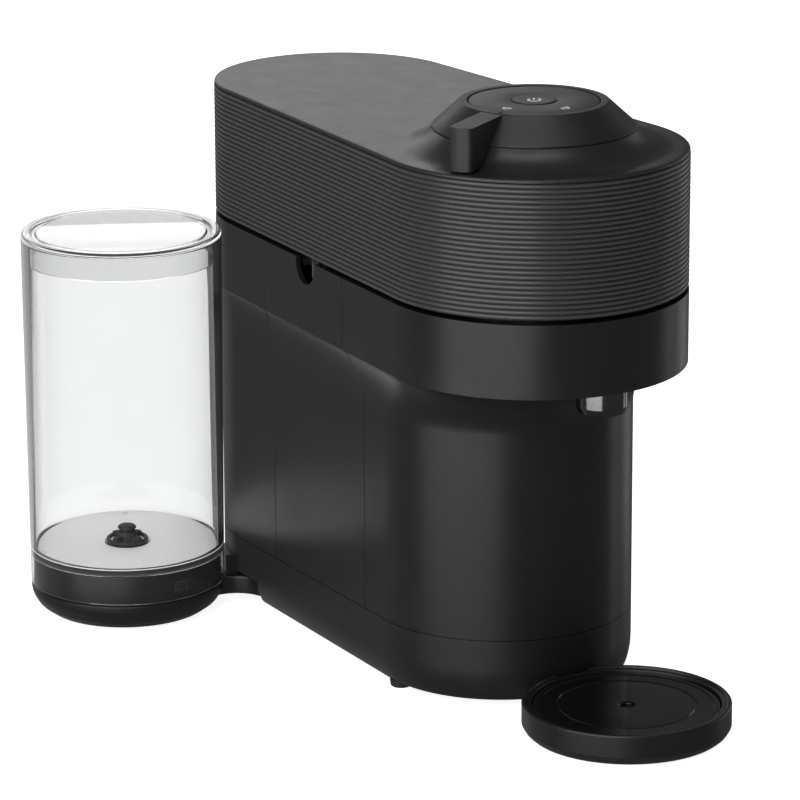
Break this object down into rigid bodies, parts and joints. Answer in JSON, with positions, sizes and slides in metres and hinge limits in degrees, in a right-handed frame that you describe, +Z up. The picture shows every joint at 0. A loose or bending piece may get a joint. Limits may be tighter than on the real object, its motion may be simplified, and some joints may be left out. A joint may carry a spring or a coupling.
{
  "type": "pod coffee machine",
  "caption": "Slim upright pod coffee machine: ribbed tilting head with a turning lock lever, side bin, cup support and a clear round water tank on a swinging arm.",
  "frame": {"origin": "bottom centre of the whole machine's box, on the surface that it stands on, with the tank arm at its left stop", "axes": "+Z up, +Y from the cup support at the front to the back, +X to the right seen from the front"},
  "size_m": [0.2126, 0.3536, 0.2626],
  "materials": {
    "shell": "fine matt grain",
    "ribbed": "matt with fine horizontal ribs",
    "top": "satin matt",
    "knob": "satin",
    "disc": "satin with white signs",
    "gloss": "polished",
    "inner": "moulded",
    "clear": "clear polished plastic",
    "steel": "brushed",
    "dark_chrome": "dark polished",
    "rubber": "matt",
    "seal": "silicone",
    "hose": "silicone tube",
    "white_plastic": "moulded",
    "board": "lacquered board",
    "aluminium": "cast"
  },
  "bodies": {
    "frame": {"base_pan": "shell", "front_housing": "shell", "rear_housing": "shell", "side_panel": "shell", "chassis": "inner", "top_deck": "shell", "brew_tub": "inner", "outlet_spout": "dark_chrome", "holder_bearings": "steel", "motor": "steel", "drive_belt": "rubber", "pump": "white_plastic", "pump_mounts": "rubber", "flow_meter": "white_plastic", "heater": "aluminium", "control_board": "board", "inlet_hose": "hose", "pump_hose": "hose", "riser_hose": "hose", "hinge_bracket": "inner", "hinge_pin": "steel", "cord_gland": "rubber", "feet": "rubber", "pivot_cap": "inner", "housing_screws": "steel"},
    "head": {"ribbed_sleeve": "ribbed", "top_cover": "top", "head_frame": "inner", "brew_head": "inner", "head_hose": "hose", "knob_disc": "disc", "button_board": "board", "button_dome": "rubber", "head_screws": "steel"},
    "knob": {"lock_lever": "knob", "latch_ring": "aluminium"},
    "button": {"brew_button": "disc"},
    "piercer": {"pierce_plate": "steel", "plate_seal": "seal"},
    "holder": {"capsule_holder": "steel", "holder_pulley": "white_plastic"},
    "motor_rotor": {"motor_pulley": "white_plastic"},
    "bin": {"bin_front": "shell", "capsule_bin": "inner"},
    "arm": {"tank_arm": "shell", "arm_cover": "shell", "dock_ring": "inner", "dock_nozzle": "inner", "dock_foot": "rubber"},
    "tank": {"water_tank": "clear", "tank_valve": "inner", "valve_seal": "seal"},
    "plunger": {"valve_plunger": "white_plastic"},
    "lid": {"tank_lid": "clear"},
    "support": {"cup_support": "gloss"},
    "plate": {"drip_plate": "gloss"}
  },
  "joints": [
    {"name": "head_hinge", "type": "hinge", "parent": "frame", "child": "head", "pos_m": [0.03927, 0.14924, 0.187], "axis": [-1, 0, 0], "range_deg": [0, 35]},
    {"name": "lever_turn", "type": "hinge", "parent": "head", "child": "knob", "pos_m": [0.03927, -0.05776, 0.25], "axis": [0, 0, 1], "range_deg": [0, 82]},
    {"name": "button_press", "type": "slide", "parent": "head", "child": "button", "axis": [0, 0, -1], "range_m": [0, 0.0008], "stiffness_N_per_m": 800},
    {"name": "piercer_spin", "type": "hinge", "parent": "head", "child": "piercer", "pos_m": [0.03927, -0.05776, 0.19], "axis": [0, 0, 1], "continuous": true},
    {"name": "holder_spin", "type": "hinge", "parent": "frame", "child": "holder", "pos_m": [0.03927, -0.05776, 0.15], "axis": [0, 0, 1], "continuous": true},
    {"name": "motor_spin", "type": "hinge", "parent": "frame", "child": "motor_rotor", "pos_m": [0.06327, -0.03776, 0.13], "axis": [0, 0, 1], "continuous": true},
    {"name": "bin_slide", "type": "slide", "parent": "frame", "child": "bin", "axis": [-1, 0, 0], "range_m": [0, 0.11]},
    {"name": "arm_swing", "type": "hinge", "parent": "frame", "child": "arm", "pos_m": [0.03927, 0.10624, 0.009], "axis": [0, 0, -1], "range_deg": [0, 152]},
    {"name": "tank_lift", "type": "slide", "parent": "arm", "child": "tank", "axis": [0, 0, 1], "range_m": [0, 0.02]},
    {"name": "valve_travel", "type": "slide", "parent": "tank", "child": "plunger", "axis": [0, 0, 1], "range_m": [0, 0.003], "stiffness_N_per_m": 150},
    {"name": "lid_lift", "type": "slide", "parent": "tank", "child": "lid", "axis": [0, 0, 1], "range_m": [0, 0.1]},
    {"name": "support_pull", "type": "slide", "parent": "frame", "child": "support", "axis": [0, -1, 0], "range_m": [0, 0.05]},
    {"name": "plate_lift", "type": "slide", "parent": "support", "child": "plate", "axis": [0, 0, 1], "range_m": [0, 0.02]}
  ],
  "couplings": [
    {"joint": "motor_spin", "follows": "holder_spin", "ratio": 2.5},
    {"joint": "piercer_spin", "follows": "holder_spin", "ratio": 1}
  ]
}
